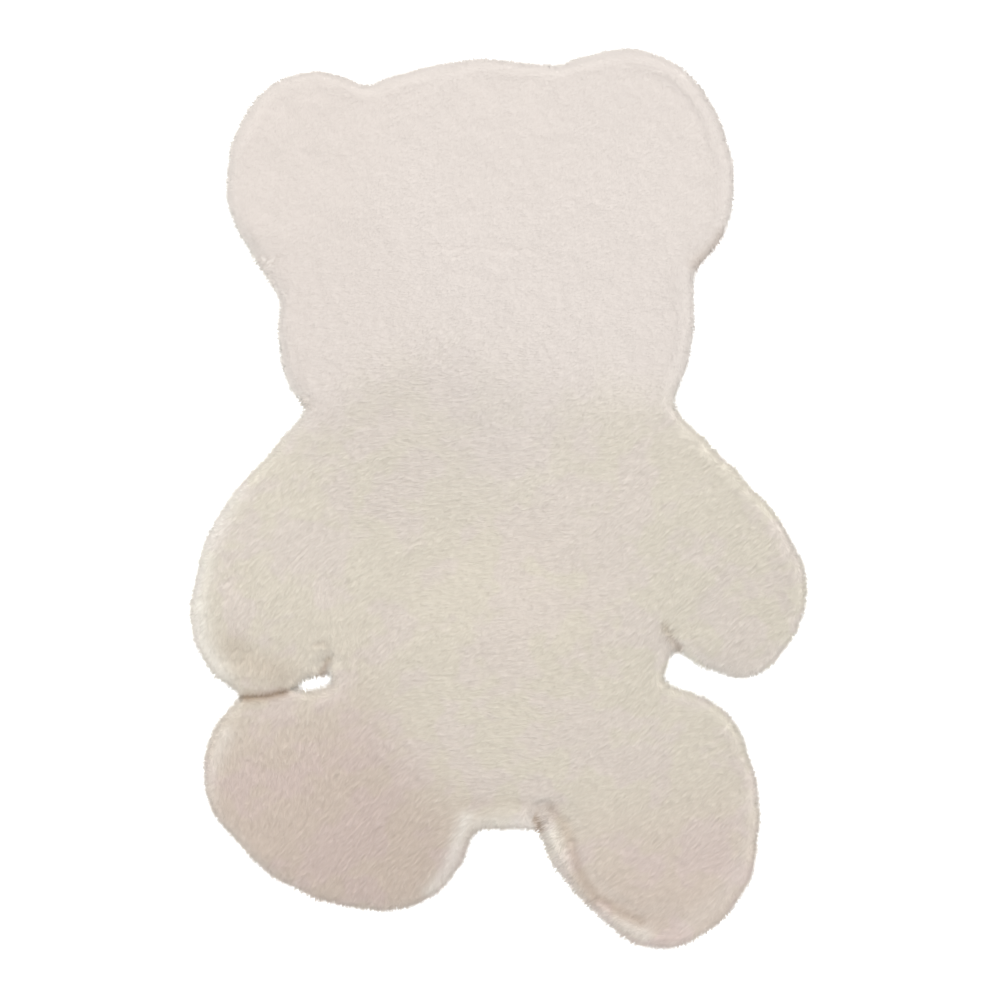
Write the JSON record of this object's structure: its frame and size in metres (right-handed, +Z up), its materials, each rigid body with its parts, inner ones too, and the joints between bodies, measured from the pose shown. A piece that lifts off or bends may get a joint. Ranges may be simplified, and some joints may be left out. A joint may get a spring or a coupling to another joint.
{
  "type": "bear shaped kids rug",
  "caption": "Flat rug of thick soft pile cut to the outline of a teddy bear with round ears, arms and feet.",
  "frame": {"origin": "on the floor, under the middle of the rug's bounding box", "axes": "+Z up from the floor, +Y towards the crown of the bear's head, +X to the right as seen from above"},
  "size_m": [0.619, 0.9, 0.0198],
  "materials": {
    "pile_fabric": "dense, soft, cut plush pile, warm off-white, matt with a faint sheen"
  },
  "bodies": {
    "root": {"bear_rug": "pile_fabric"}
  },
  "joints": []
}
